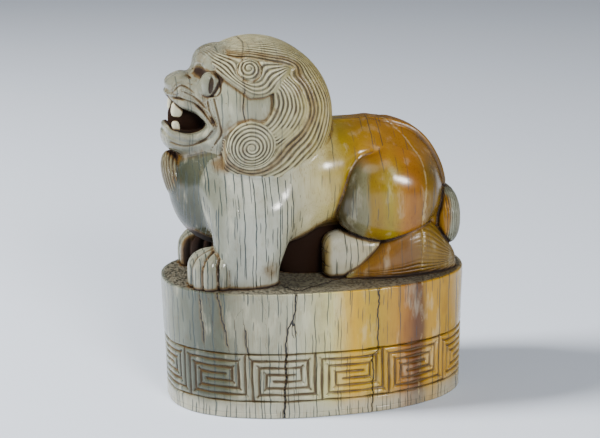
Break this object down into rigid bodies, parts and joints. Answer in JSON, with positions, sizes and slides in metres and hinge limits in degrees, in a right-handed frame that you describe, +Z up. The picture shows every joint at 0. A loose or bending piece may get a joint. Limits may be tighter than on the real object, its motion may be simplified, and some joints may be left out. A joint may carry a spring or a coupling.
{
  "type": "seal stamp",
  "caption": "Oval seal stamp with a crouching lion carved on top as its grip and a band of square spirals cut round the base.",
  "frame": {"origin": "middle of the seal face, on the plane that the stamp stands on", "axes": "+Z up from the seal face to the lion, -X the way the lion faces, -Y its left side"},
  "size_m": [0.062, 0.0402, 0.0732],
  "materials": {
    "ivory": "polished grey-cream ivory with fine drying cracks",
    "combed_hair": "satin ivory cut with close dark hair lines",
    "amber_ivory": "polished ivory stained yellow to amber",
    "stained_ivory": "satin ivory stained orange-brown, dark in its grooves",
    "tooth": "smooth pale ivory"
  },
  "bodies": {
    "root": {"seal_face": "ivory", "base_foot": "ivory", "fret_band": "ivory", "base_drum": "ivory", "head": "ivory", "lower_jaw": "ivory", "nose": "ivory", "chest": "ivory", "left_eye": "ivory", "right_eye": "ivory", "left_foreleg": "ivory", "right_foreleg": "ivory", "left_forepaw": "ivory", "right_forepaw": "ivory", "left_hind_foot": "ivory", "right_hind_foot": "ivory", "mane": "combed_hair", "beard_tuft": "combed_hair", "left_brow": "combed_hair", "right_brow": "combed_hair", "left_brow_curl": "combed_hair", "right_brow_curl": "combed_hair", "left_mane_lock": "combed_hair", "right_mane_lock": "combed_hair", "left_mane_curl": "combed_hair", "right_mane_curl": "combed_hair", "torso": "amber_ivory", "rump": "amber_ivory", "spine_ridge": "amber_ivory", "left_haunch": "amber_ivory", "right_haunch": "amber_ivory", "tail_curl": "stained_ivory", "left_tail_plume": "stained_ivory", "right_tail_plume": "stained_ivory", "belly_core": "stained_ivory", "tongue": "stained_ivory", "left_upper_fang": "tooth", "right_upper_fang": "tooth", "left_lower_fang": "tooth", "right_lower_fang": "tooth"}
  },
  "joints": []
}
